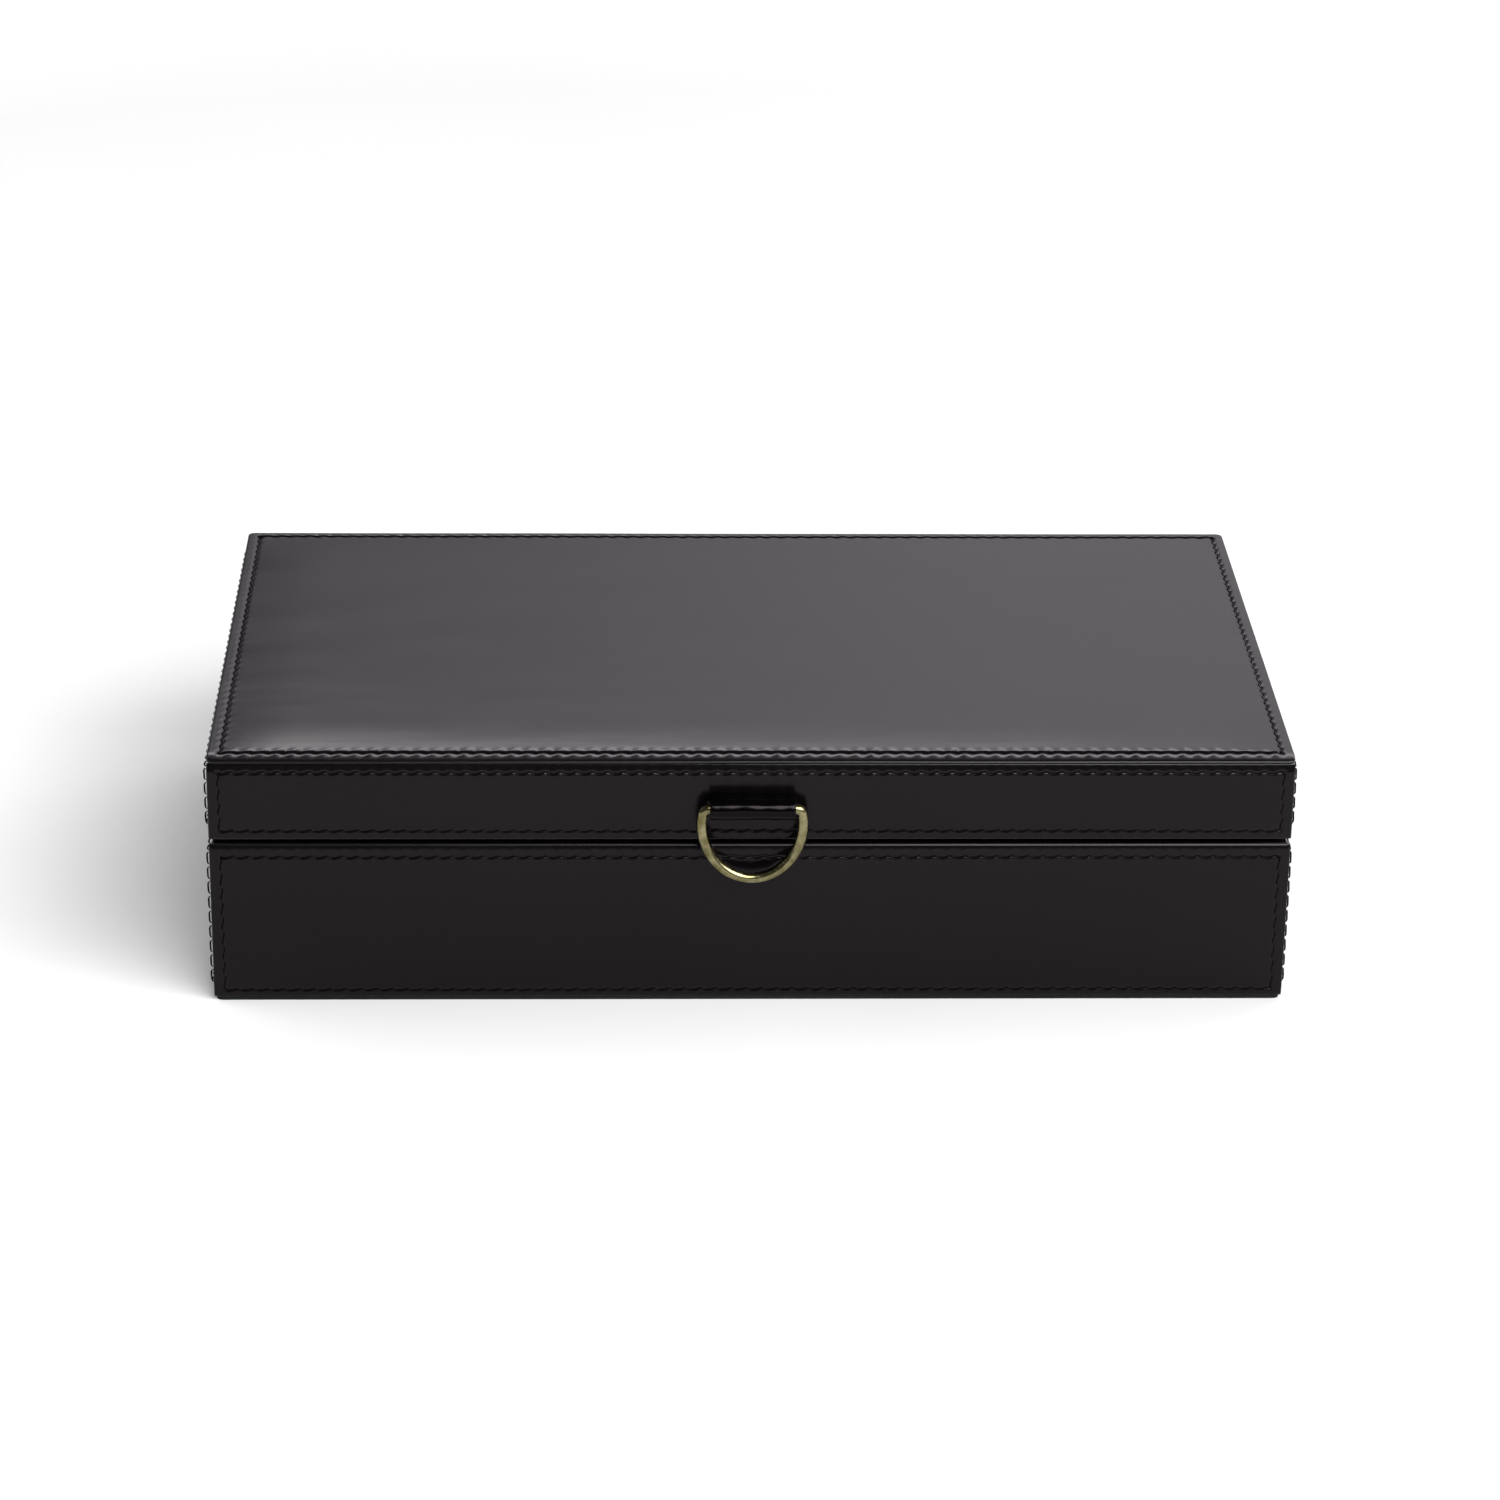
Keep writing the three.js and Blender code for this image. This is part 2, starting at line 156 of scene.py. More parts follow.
def leather_material(name, tone, roughness, level, grain):
    """Smooth satin leather: faint clouds of colour, long soft creases and a fine grain."""
    material, tree, shader = new_material(name)
    where = coordinates(tree)
    cloud = noise(tree, where, 45, 3)
    low = [c * 0.88 for c in tone]
    high = [c * 1.12 for c in tone]
    tree.links.new(ramp(tree, cloud, (0.3, low), (0.7, high)), shader.inputs["Base Color"])
    polish = noise(tree, coordinates(tree, (0.35, 1, 1)), 16, 4, 0.55)
    gloss = ramp(tree, polish, (0.3, roughness - 0.03), (0.7, roughness + 0.035))
    tree.links.new(gloss, shader.inputs["Roughness"])
    shader.inputs["Specular IOR Level"].default_value = level
    shader.inputs["Specular Tint"].default_value = LEATHER_SHEEN
    creases = noise(tree, coordinates(tree, (0.2, 1, 1)), 13, 3, 0.45)
    crease = bump(tree, shader, creases, 1, 0.11)
    cells = node(tree, "ShaderNodeTexVoronoi", feature="SMOOTH_F1", scale=1 / 0.7, smoothness=0.6)
    tree.links.new(where, cells.inputs["Vector"])
    pebble = bump(tree, shader, cells.outputs["Distance"], grain, 0.02, crease)
    bump(tree, shader, noise(tree, where, 0.3, 2), grain * 0.6, 0.012, pebble)
    return material


def edge_paint_material():
    material, tree, shader = new_material("edge_paint")
    where = coordinates(tree)
    shader.inputs["Base Color"].default_value = (0.005, 0.0045, 0.0048, 1)
    polish = noise(tree, where, 3, 4)
    tree.links.new(ramp(tree, polish, (0.35, 0.07), (0.7, 0.12)), shader.inputs["Roughness"])
    shader.inputs["Specular IOR Level"].default_value = 0.3
    bump(tree, shader, noise(tree, where, 1.4, 3), 0.15, 0.05)
    return material


def thread_material():
    material, tree, shader = new_material("waxed_thread")
    where = coordinates(tree)
    fibres = noise(tree, where, 0.35, 3)
    tree.links.new(ramp(tree, fibres, (0.3, 0.0008), (0.75, 0.002)), shader.inputs["Base Color"])
    shader.inputs["Roughness"].default_value = 0.65
    shader.inputs["Specular IOR Level"].default_value = 0.03
    bump(tree, shader, fibres, 0.4, 0.04)
    return material


def suede_material(name, dark, light):
    material, tree, shader = new_material(name)
    where = coordinates(tree)
    brushed = coordinates(tree, (0.35, 1, 1))
    nap = noise(tree, brushed, 26, 5, 0.6)
    pile = noise(tree, where, 0.45, 4, 0.7)
    mixed = node(tree, "ShaderNodeMix", data_type="RGBA", blend_type="MULTIPLY")
    mixed.inputs["Factor"].default_value = 0.7
    tree.links.new(ramp(tree, nap, (0.35, dark), (0.65, light)), mixed.inputs[6])
    tree.links.new(ramp(tree, pile, (0.25, 0.55), (0.7, 1.0)), mixed.inputs[7])
    tree.links.new(mixed.outputs[2], shader.inputs["Base Color"])
    shader.inputs["Roughness"].default_value = 0.95
    shader.inputs["Specular IOR Level"].default_value = 0.1
    shader.inputs["Sheen Weight"].default_value = 0.35
    shader.inputs["Sheen Roughness"].default_value = 0.4
    shader.inputs["Sheen Tint"].default_value = (0.55, 0.53, 0.6, 1)
    bump(tree, shader, pile, 0.6, 0.12)
    return material


def brass_material(name, dark, bright, roughness):
    material, tree, shader = new_material(name)
    where = coordinates(tree)
    shader.inputs["Metallic"].default_value = 1
    patina = noise(tree, where, 3.2, 6, 0.65)
    tree.links.new(ramp(tree, patina, (0.38, dark), (0.62, bright)), shader.inputs["Base Color"])
    rub = noise(tree, where, 1.6, 5, 0.6)
    gloss = ramp(tree, rub, (0.3, roughness - 0.08), (0.75, roughness + 0.1))
    tree.links.new(gloss, shader.inputs["Roughness"])
    bump(tree, shader, noise(tree, where, 0.7, 3), 0.2, 0.03)
    return material


def board_material():
    material, tree, shader = new_material("fibreboard")
    where = coordinates(tree, (1, 1, 2))
    fibres = noise(tree, where, 1.1, 6, 0.7)
    colours = ramp(tree, fibres, (0.3, (0.3, 0.19, 0.1)), (0.7, (0.47, 0.32, 0.18)))
    tree.links.new(colours, shader.inputs["Base Color"])
    shader.inputs["Roughness"].default_value = 0.8
    bump(tree, shader, fibres, 0.4, 0.1)
    return material


def magnet_material():
    material, tree, shader = new_material("nickel")
    where = coordinates(tree)
    shader.inputs["Base Color"].default_value = (0.6, 0.6, 0.61, 1)
    shader.inputs["Metallic"].default_value = 1
    tree.links.new(ramp(tree, noise(tree, where, 1, 3), (0.3, 0.2), (0.7, 0.35)), shader.inputs["Roughness"])
    return material


leather = leather_material("black_leather", (0.0017, 0.0013, 0.0016), 0.2, 0.16, 0.15)
# the pull loop's leather is a darker copy of the black leather: its darker colour is painted shade, so the
# loop reads near-black
strap_leather_painted_shade = leather_material("strap_leather_painted_shade", (0.0005, 0.0004, 0.0005), 0.13, 0.09, 0.1)
edge_paint = edge_paint_material()
thread = thread_material()
suede = suede_material("lining_suede", (0.022, 0.021, 0.024), (0.042, 0.04, 0.046))
felt = suede_material("bottom_felt", (0.008, 0.008, 0.009), (0.014, 0.014, 0.015))
ring_brass = brass_material("antique_brass", (0.12, 0.105, 0.045), (0.25, 0.225, 0.125), 0.22)
hinge_brass = brass_material("hinge_brass", (0.2, 0.15, 0.065), (0.38, 0.29, 0.14), 0.3)
board = board_material()
nickel = magnet_material()


# ------------------------------------------------------------------ mesh tools
def add_mesh(name, points, faces, materials, body, face_materials=None):
    """A piece from points in millimetres; it rides on a body and its faces look outwards."""
    mesh = bpy.data.meshes.new(name)
    mesh.from_pydata([[c * MM for c in p] for p in points], [], faces)
    for material in materials:
        mesh.materials.append(material)
    if face_materials is not None:
        mesh.polygons.foreach_set("material_index", face_materials)
    work = bmesh.new()
    work.from_mesh(mesh)
    bmesh.ops.recalc_face_normals(work, faces=work.faces)
    work.to_mesh(mesh)
    work.free()
    mesh.polygons.foreach_set("use_smooth", [True] * len(mesh.polygons))
    piece = bpy.data.objects.new(name, mesh)
    bpy.context.scene.collection.objects.link(piece)
    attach(piece, body)
    return piece


def smoothstep(x):
    x = np.clip(x, 0, 1)
    return x * x * (3 - 2 * x)


def ring_points(half_u, half_v, insets, corner, cells_u, cells_v):
    """Points round a rounded rectangle, the same number on each side whatever its insets.

    insets are left, right, bottom and top. Each side's points run from the middle of one corner to the
    middle of the next.
    """
    left, right, bottom, top = insets
    u0, u1 = -half_u + left, half_u - right
    v0, v1 = -half_v + bottom, half_v - top
    radius = max(corner - min(insets), 0)
    points = []
    sides = [
        ((u0, v0), (u1, v0), cells_u), ((u1, v0), (u1, v1), cells_v),
        ((u1, v1), (u0, v1), cells_u), ((u0, v1), (u0, v0), cells_v),
    ]
    for start, end, cells in sides:
        start, end = np.array(start), np.array(end)
        length = np.linalg.norm(end - start)
        along = (end - start) / length
        inward = np.array((-along[1], along[0]))
        arc = radius * math.pi / 4
        total = length - 2 * radius + 2 * arc
        for step in range(cells):
            s = total * step / cells
            if s < arc:
                turn = math.pi / 4 - s / radius
                centre = start + (along + inward) * radius
                point = centre - radius * (along * math.sin(turn) + inward * math.cos(turn))
            elif s > total - arc:
                turn = math.pi / 4 - (total - s) / radius
                centre = end + (inward - along) * radius
                point = centre + radius * (along * math.sin(turn) - inward * math.cos(turn))
            else:
                point = start + along * (radius + s - arc)
            points.append(point)
    return np.array(points)


FAN = 8  # fine points along the edge for each coarse cell inside


def bridge(outer, inner):
    """Faces between two rings of point numbers with the same count, or `FAN` outer to one inner."""
    faces = []
    if len(outer) == len(inner):
        for i, _ in enumerate(outer):
            j = (i + 1) % len(outer)
            faces.append((outer[i], outer[j], inner[j], inner[i]))
        return faces
    for i, corner in enumerate(inner):
        after = inner[(i + 1) % len(inner)]
        fine = [outer[(i * FAN + k) % len(outer)] for k in range(FAN + 1)]
        for k in range(FAN // 2):
            faces.append((fine[k], fine[k + 1], corner))
        faces.append((fine[FAN // 2], after, corner))
        for k in range(FAN // 2, FAN):
            faces.append((fine[k], fine[k + 1], after))
    return faces


def inner_grid(points, ring, half_u, half_v, insets, cells_u, cells_v):
    """Fills a coarse ring with a grid; returns the new points (plane coordinates) and the faces."""
    left, right, bottom, top = insets
    us = np.linspace(-half_u + left, half_u - right, cells_u + 1)
    vs = np.linspace(-half_v + bottom, half_v - top, cells_v + 1)
    number = np.zeros((cells_u + 1, cells_v + 1), int)
    for i in range(cells_u):
        number[i, 0] = ring[i]
        number[cells_u - i, cells_v] = ring[cells_u + cells_v + i]
    for j in range(cells_v):
        number[cells_u, j] = ring[cells_u + j]
        number[0, cells_v - j] = ring[2 * cells_u + cells_v + j]
    new = []
    for i in range(1, cells_u):
        for j in range(1, cells_v):
            number[i, j] = len(points) + len(new)
            new.append((us[i], vs[j]))
    faces = [
        (number[i, j], number[i + 1, j], number[i + 1, j + 1], number[i, j + 1])
        for i in range(cells_u) for j in range(cells_v)
    ]
    return new, faces


# ------------------------------------------------------------------ leather panels and their seams
STITCH_PITCH = 4.6
THREAD_END = 0.5  # how deep a stitch's ends dive below the leather
LEAN = 0.24  # how far each stitch strays to either side of its row
PUCKER = 0.22  # the puckers' depth as a part of the groove's
PUCKER_PLACE = 1.1  # how far from the row they lie
PUCKER_SPREAD = 0.8
ROW_RUNOUT = 1.1  # how far the groove runs on past the row's ends
THREAD_SIDES = 8
THREAD_STEPS = 10
STITCH_HALF = 0.49  # half a stitch's length as a part of the pitch
SWELL = 0.05  # how far the leather strays from flat in long waves
FAINT = 0.75  # how deep the rows along v are beside those along u
COARSE_CELL = 5.28  # inside the panel; along its edge the cells are FAN times finer
BACK_ROUNDING = 0.3
PAINTED = 0.35  # the cut edge is painted this far round
EDGE_STEPS = (0, 0.04, 0.13, 0.29, 0.56, 1)  # rings over the rounded edge, as parts of its width
SEAM_STEPS = (-1.3, -0.95, -0.65, -0.4, -0.2, 0, 0.2, 0.4, 0.65, 0.95, 1.3, 1.8)  # rings beside a row
FIELD_STEPS = (2.6, 3.8, 5.5)
FIELD_END = 7


class Panel:
    """A rectangular leather panel with one stitch row near each of its four edges.

    u and v are its own coordinates, and what has four values has them for the left, right, bottom and
    top edge. seams are the rows' distances from the edges. rolls say how far the margins outside the
    rows fall back, and bend how curved that fall is. corner is the radius of the outline's corners and
    edge the width and depth of the rounding along it. pad is how far the middle is puffed up, over
    pad_reach. groove and width are the depth and width of the rows' grooves. thread is the radius of
    the thread, stand how far it stands off the groove's bottom and arch how square its bow is.
    """

    def __init__(self, centre, axes, half_u, half_v, thickness, seams, rolls=(0,) * 4, corner=0.3,
                 edge=(0.8, 0.4), pad=0, pad_reach=12, groove=0.35, stand=0.05, arch=4, width=0.42, bend=1,
                 thread=0.22):
        self.centre = np.array(centre, float)
        self.axes = np.array(axes, float)
        self.half_u, self.half_v = half_u, half_v
        self.thickness = thickness
        self.seams, self.rolls, self.bend = seams, rolls, bend
        self.thread = thread
        self.corner = corner
        self.edge_width, self.edge_depth = edge
        self.pad, self.pad_reach = pad, pad_reach
        self.groove, self.stand, self.arch, self.width = groove, stand, arch, width
        self.rows = self.make_rows()

    def make_rows(self):
        """Each row: fixed coordinate's index, its value, the row's two ends and its number of stitches."""
        left, right, bottom, top = self.seams
        ends_u = (-self.half_u + left, self.half_u - right)
        ends_v = (-self.half_v + bottom, self.half_v - top)
        rows = []
        for fixed, value, ends in (
            (1, ends_v[0], ends_u), (0, ends_u[1], ends_v), (1, ends_v[1], ends_u), (0, ends_u[0], ends_v),
        ):
            count = max(1, round((ends[1] - ends[0]) / STITCH_PITCH))
            rows.append((fixed, value, ends, count))
        return rows

    def edge_rings(self):
        """The inset of each ring over the rounded edge, and how far it lies below the face."""
        rings = []
        for step in EDGE_STEPS:
            rings.append((step * self.edge_width, self.edge_depth * (1 - math.sqrt(1 - (1 - step) ** 2))))
        return rings

    def face_rings(self):
        """The four insets of each ring between the edge and the field, parallel to the rows."""
        rings = []
        for part in (1 / 3, 2 / 3):
            rings.append([
                self.edge_width + (seam + SEAM_STEPS[0] - self.edge_width) * part for seam in self.seams
            ])
        for step in SEAM_STEPS + FIELD_STEPS:
            rings.append([seam + step for seam in self.seams])
        return rings

    def height(self, u, v):
        """How far the face lies outside the panel's plane, without the edge rounding."""
        h = SWELL * np.sin(u / 23 + 1.3) * np.sin(v / 17 + u / 61)
        distances = (u + self.half_u, self.half_u - u, v + self.half_v, self.half_v - v)
        for distance, seam, roll in zip(distances, self.seams, self.rolls):
            h -= roll * np.clip(1 - distance / seam, 0, 1) ** self.bend
        if self.pad:
            rise = self.pad * np.ones_like(u)
            for pair, seam_pair in ((distances[:2], self.seams[:2]), (distances[2:], self.seams[2:])):
                inside = np.minimum(pair[0] - seam_pair[0], pair[1] - seam_pair[1])
                rise *= np.sin(np.clip(inside / self.pad_reach, 0, 1) * math.pi / 2)
            h += rise
        for fixed, value, ends, count in self.rows:
            if fixed == 1:
                h -= self.groove * self.seam_depth(v - value, u, ends, count, PUCKER)
            else:
                h -= FAINT * self.groove * self.seam_depth(u - value, v, ends, count, PUCKER / 3)
        return h

    def seam_depth(self, across, along, ends, count, puckering):
        """The groove under a row of stitches and the puckers beside it, where 1 is the groove's depth."""
        phase = (along - ends[0]) / (ends[1] - ends[0]) * count
        wave = np.cos(2 * math.pi * phase)
        across = across + LEAN * np.sin(2 * math.pi * phase)
        reach = np.minimum(along - ends[0], ends[1] - along)
        window = smoothstep((reach + ROW_RUNOUT) / 0.9)
        uneven = 0.7 + 0.3 * np.sin(along * 0.37 + ends[1]) * np.sin(along * 0.11 + 1)
        trough = np.exp(-((across / self.width) ** 2)) * (0.85 + 0.15 * wave)
        pucker = np.exp(-(((np.abs(across) - PUCKER_PLACE) / PUCKER_SPREAD) ** 2)) * wave * uneven
        return window * (trough + puckering * pucker)

    def place(self, u, v, w):
        return self.centre + np.outer(u, self.axes[0]) + np.outer(v, self.axes[1]) + np.outer(w, self.axes[2])

    def build(self, name, body, nodes, materials):
        coarse_u = max(2, round(2 * self.half_u / COARSE_CELL))
        coarse_v = max(2, round(2 * self.half_v / COARSE_CELL))
        fine = (coarse_u * FAN, coarse_v * FAN)
        points, faces, face_materials = [], [], []

        def flat(w):
            return lambda u, v: np.full_like(u, w)

        def face(drop):
            return lambda u, v: self.height(u, v) - drop

        def add_ring(insets, cells, depth):
            around = ring_points(self.half_u, self.half_v, insets, self.corner, *cells)
            u, v = around[:, 0], around[:, 1]
            start = len(points)
            points.extend(self.place(u, v, depth(u, v)))
            return list(range(start, start + len(u)))

        def add_faces(made, material):
            faces.extend(made)
            face_materials.extend([material] * len(made))

        def fill(ring, insets, depth):
            new, made = inner_grid(points, ring, self.half_u, self.half_v, insets, coarse_u, coarse_v)
            if new:
                u, v = np.array(new).T
                points.extend(self.place(u, v, depth(u, v)))
            add_faces(made, 0)

        back = [BACK_ROUNDING * 3] * 4
        last = add_ring(back, (coarse_u, coarse_v), flat(-self.thickness))
        fill(last, back, flat(-self.thickness))
        between = 0.3 * BACK_ROUNDING
        for inset, lift in ((BACK_ROUNDING, 0), (between, between), (0, BACK_ROUNDING)):
            ring = add_ring([inset] * 4, fine, flat(lift - self.thickness))
            add_faces(bridge(ring, last), 1)
            last = ring
        for inset, drop in self.edge_rings():
            ring = add_ring([inset] * 4, fine, face(drop))
            add_faces(bridge(last, ring), 1 if inset < PAINTED else 0)
            last = ring
        for insets in self.face_rings():
            ring = add_ring(insets, fine, face(0))
            add_faces(bridge(last, ring), 0)
            last = ring
        insets = [seam + FIELD_END for seam in self.seams]
        coarse = add_ring(insets, (coarse_u, coarse_v), face(0))
        add_faces(bridge(last, coarse), 0)
        fill(coarse, insets, face(0))
        piece = add_mesh(name, points, faces, materials, body, face_materials=face_materials)
        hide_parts(*nodes)
        return piece

    def stitches(self):
        """The thread of every row: points in millimetres and faces."""
        points, faces = [], []
        for fixed, value, ends, count in self.rows:
            pitch = (ends[1] - ends[0]) / count
            for index in range(count):
                middle = ends[0] + (index + 0.5) * pitch
                self.one_stitch(points, faces, fixed, value, middle, pitch)
        return points, faces

    def one_stitch(self, points, faces, fixed, value, middle, pitch):
        crown = self.stand - self.groove * (1 if fixed == 1 else FAINT)
        flat = []
        for step in range(THREAD_STEPS + 1):
            t = -1 + 2 * step / THREAD_STEPS
            lift = crown - (crown + THREAD_END) * abs(t) ** self.arch
            radius = self.thread * math.sqrt(1 - 0.8 * t**6)
            stray = LEAN * math.sin(math.pi * t)
            along = middle + STITCH_HALF * pitch * t
            for side in range(THREAD_SIDES):
                angle = 2 * math.pi * side / THREAD_SIDES
                across = value + stray + radius * math.cos(angle)
                u, v = (along, across) if fixed == 1 else (across, along)
                flat.append((u, v, lift + radius * math.sin(angle)))
        start = len(points)
        flat = np.array(flat)
        points.extend(self.place(flat[:, 0], flat[:, 1], flat[:, 2]))
        for step in range(THREAD_STEPS):
            for side in range(THREAD_SIDES):
                a = start + step * THREAD_SIDES + side
                b = start + step * THREAD_SIDES + (side + 1) % THREAD_SIDES
                faces.append((a, b, b + THREAD_SIDES, a + THREAD_SIDES))
        last = start + THREAD_STEPS * THREAD_SIDES
        faces.append(tuple(start + side for side in range(THREAD_SIDES)))
        faces.append(tuple(last + side for side in range(THREAD_SIDES)))


def join_threads(name, panels, body):
    """One piece from the thread of several panels."""
    points, faces = [], []
    for panel in panels:
        new_points, new_faces = panel.stitches()
        start = len(points)
        points.extend(new_points)
        faces.extend(tuple(i + start for i in face) for face in new_faces)
    piece = add_mesh(name, points, faces, [thread], body)


def box_mm(name):
    low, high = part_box(name)
    return np.array(low) / MM, np.array(high) / MM


WALL_FRAMES = {
    "front": ((1, 0, 0), (0, 0, 1), (0, -1, 0)),
    "back": ((-1, 0, 0), (0, 0, 1), (0, 1, 0)),
    "left": ((0, -1, 0), (0, 0, 1), (-1, 0, 0)),
    "right": ((0, 1, 0), (0, 0, 1), (1, 0, 0)),
}
END_SEAM = {"front": 3.3, "back": 3.3, "left": 3.1, "right": 3.1}
LID_SEAMS = (2.8, 2.85)  # bottom and top
BASE_SEAMS = (2.4, 4.0)
LID_ROLLS = (0.1, 0.1, 0.15, 0.85)  # the margins' fall at the left, right, bottom and top edge
BASE_ROLLS = (0.1, 0.1, 0.1, 0.7)
# The side walls' thread bows well clear of the leather
SIDE_THREAD = {"thread": 0.26, "stand": 1.25, "arch": 8}
TOP_SEAMS = (3.7, 3.6, 4.7, 3.4)


def wall_panel(part, wall, bottom_top, rolls, **looks):
    low, high = box_mm(f"{part}_{wall}_leather")
    axes = np.array(WALL_FRAMES[wall], float)
    normal = axes[2]
    centre = np.where(normal != 0, np.where(normal > 0, high, low), (low + high) / 2)
    across, upwards, thickness = (float(abs((high - low) @ axis)) for axis in axes)
    seams = (END_SEAM[wall], END_SEAM[wall], *bottom_top)
    return Panel(centre, axes, across / 2, upwards / 2, thickness, seams, rolls, **looks)


panels = {"base": [], "lid": []}
for part, bottom_top, rolls, edge, bend in (
    ("base", BASE_SEAMS, BASE_ROLLS, (0.7, 0.35), 2.2), ("lid", LID_SEAMS, LID_ROLLS, (0.55, 0.3), 1),
):
    for wall in WALL_FRAMES:
        looks = {"edge": edge, "bend": bend, **(SIDE_THREAD if wall in ("left", "right") else {})}
        panel = wall_panel(part, wall, bottom_top, rolls, **looks)
        panels[part].append(panel)
        panel.build(f"{part}_{wall}_panel", part, [f"{part}_{wall}_leather"], [leather, edge_paint])

low, high = box_mm("lid_top_leather")
top_panel = Panel(
    (*(low + high)[:2] / 2, high[2]), ((1, 0, 0), (0, 1, 0), (0, 0, 1)), *(high - low)[:2] / 2,
    high[2] - low[2], TOP_SEAMS, rolls=(0, 0, 0.82, 0), corner=2, edge=(0.6, 0.34), pad=0.85, pad_reach=21,
    groove=0.7, stand=0.12, width=0.55, bend=1.5,
)
top_piece = top_panel.build("lid_top_panel", "lid", ["lid_top_leather"], [leather, edge_paint])
panels["lid"].append(top_panel)

join_threads("base_stitching", panels["base"], "base")
join_threads("lid_stitching", panels["lid"], "lid")


# ------------------------------------------------------------------ sweeps: the pull ring and its loop
def sweep(path, sections, closed):
    """Points and faces of a tube with one ring of points, from sections, for each step of the path."""
    points = [p for ring in sections for p in ring]
    around = len(sections[0])
    faces = []
    count = len(path)
    for step in range(count if closed else count - 1):
        after = (step + 1) % count
        for side in range(around):
            a = step * around + side
            b = step * around + (side + 1) % around
            c = after * around + (side + 1) % around
            d = after * around + side
            faces.append((a, b, c, d))
    if not closed:
        faces.append(tuple(range(around)))
        faces.append(tuple((count - 1) * around + side for side in range(around)))
    return points, faces


RING_HALF = 14.9
BAR_HALF = 14.5
ARC_Z = 60
CORNER = 1.8
ARC_STEPS = 40
LEG_STEPS = 8
CORNER_STEPS = 10
BAR_STEPS = 10
WIRE_SIDES = 28
LOOP_THICKNESS = 1.3
LOOP_EDGE = 0.35  # the rounding along the strap's edges
LOOP_TAIL_STEPS = 9
LOOP_TURN_STEPS = 40
LOOP_EDGE_STEPS = 4
LOOP_CUTS = 16  # parts across the strap


def ring_outline(bar_z, low_z):
    """The wire's centre line from the middle of the arc round to the same point, as x and z."""
    half = []
    for step in range(ARC_STEPS + 1):
        angle = math.pi / 2 * (step / ARC_STEPS - 1)
        half.append((RING_HALF * math.cos(angle), ARC_Z + (ARC_Z - low_z) * math.sin(angle)))
    shoulder = bar_z - CORNER
    for step in range(1, LEG_STEPS + 1):
        rise = step / LEG_STEPS
        lean = (RING_HALF - BAR_HALF) * rise**2
        half.append((RING_HALF - lean, ARC_Z + (shoulder - ARC_Z) * rise))
    for step in range(1, CORNER_STEPS + 1):
        angle = math.pi / 2 * step / CORNER_STEPS
        half.append((BAR_HALF - CORNER * (1 - math.cos(angle)), shoulder + CORNER * math.sin(angle)))
    for step in range(1, BAR_STEPS):
        half.append(((BAR_HALF - CORNER) * (1 - step / BAR_STEPS), bar_z))
    return half + [(0, bar_z)] + [(-x, z) for x, z in reversed(half[1:])]


def add_pull_ring():
    low, high = box_mm("pull_ring")
    wire = (high[1] - low[1]) / 2
    y = (high[1] + low[1]) / 2
    bar_z = high[2] - wire
    outline = ring_outline(bar_z, low[2] + wire)
    sections = []
    count = len(outline)
    for index, (x, z) in enumerate(outline):
        before, after = outline[index - 1], outline[(index + 1) % count]
        tangent = Vector((after[0] - before[0], 0, after[1] - before[1])).normalized()
        outward = tangent.cross(Vector((0, 1, 0)))
        ring = []
        for side in range(WIRE_SIDES):
            angle = 2 * math.pi * side / WIRE_SIDES
            point = Vector((x, y, z)) + outward * wire * math.cos(angle)
            point.y += wire * math.sin(angle)
            ring.append(point)
        sections.append(ring)
    points, faces = sweep(outline, sections, True)
    piece = add_mesh("pull_ring_wire", points, faces, [ring_brass], "pull_ring")
    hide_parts("pull_ring")
    return y, bar_z


def add_pull_loop(bar_y, bar_z):
    low, high = box_mm("pull_loop")
    radius = (high[2] - low[2]) / 2
    middle_radius = radius - LOOP_THICKNESS / 2
    half_width = (high[0] - low[0]) / 2
    tail = high[1] - bar_y
    path = []
    for step in range(LOOP_TAIL_STEPS):
        path.append((tail * (1 - step / LOOP_TAIL_STEPS), -middle_radius, 0, -1))
    for step in range(LOOP_TURN_STEPS + 1):
        angle = -math.pi / 2 - math.pi * step / LOOP_TURN_STEPS
        out_y, out_z = math.cos(angle), math.sin(angle)
        path.append((middle_radius * out_y, middle_radius * out_z, out_y, out_z))
    for step in range(1, LOOP_TAIL_STEPS + 1):
        path.append((tail * step / LOOP_TAIL_STEPS, middle_radius, 0, 1))
    section = []
    for side_x, side_w, start in ((1, 1, 0), (-1, 1, 90), (-1, -1, 180), (1, -1, 270)):
        for step in range(LOOP_EDGE_STEPS + 1):
            angle = math.radians(start + 90 * step / LOOP_EDGE_STEPS)
            section.append((
                side_x * (half_width - LOOP_EDGE) + LOOP_EDGE * math.cos(angle),
                side_w * (LOOP_THICKNESS / 2 - LOOP_EDGE) + LOOP_EDGE * math.sin(angle),
            ))
    dense = []
    for index, (x, w) in enumerate(section):
        dense.append((x, w))
        after_x = section[(index + 1) % len(section)][0]
        if abs(after_x - x) > half_width:
            for step in range(1, LOOP_CUTS):
                dense.append((x + (after_x - x) * step / LOOP_CUTS, w))
    sections = []
    for y, z, out_y, out_z in path:
        ring = []
        for x, w in dense:
            ripple = 0.05 * math.sin(x * 0.9 + 2) + 0.04 * math.sin(x * 0.37 + z)
            reach = w + ripple
            ring.append((x, bar_y + y + out_y * reach, bar_z + z + out_z * reach))
        sections.append(ring)
    points, faces = sweep(path, sections, False)
    # the strap wears the darker leather copy, whose colour is painted shade
    piece = add_mesh("pull_loop_strap", points, faces, [strap_leather_painted_shade], "lid")
    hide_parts("pull_loop")


bar_y, bar_z = add_pull_ring()
add_pull_loop(bar_y, bar_z)


